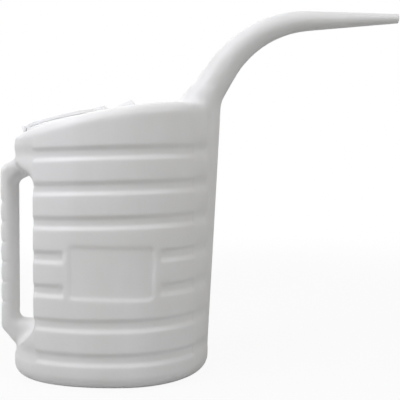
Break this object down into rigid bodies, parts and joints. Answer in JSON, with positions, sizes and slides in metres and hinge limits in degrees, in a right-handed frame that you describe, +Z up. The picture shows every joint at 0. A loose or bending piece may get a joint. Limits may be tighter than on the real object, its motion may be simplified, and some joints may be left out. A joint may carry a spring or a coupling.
{
  "type": "measuring jug",
  "caption": "Oval blow-moulded measuring jug with a moulded-in handle, a long curved pouring spout and a hinged filler lid.",
  "frame": {"origin": "on the flat base, in the mould plane, where the oval is widest", "axes": "+Z up, +X towards the spout's tip, Y across the jug"},
  "size_m": [0.423, 0.15, 0.3705],
  "materials": {
    "translucent_plastic": "natural polyethylene, satin, slightly translucent",
    "white_plastic": "white polypropylene, satin"
  },
  "bodies": {
    "jug": {"jug": "translucent_plastic", "cover_base": "white_plastic"},
    "lid": {"lid": "white_plastic", "hinge_pin": "white_plastic"}
  },
  "joints": [
    {"name": "lid_hinge", "type": "hinge", "parent": "jug", "child": "lid", "pos_m": [-0.0218, 0, 0.27464], "axis": [0, 1, 0], "range_deg": [0, 150]}
  ]
}
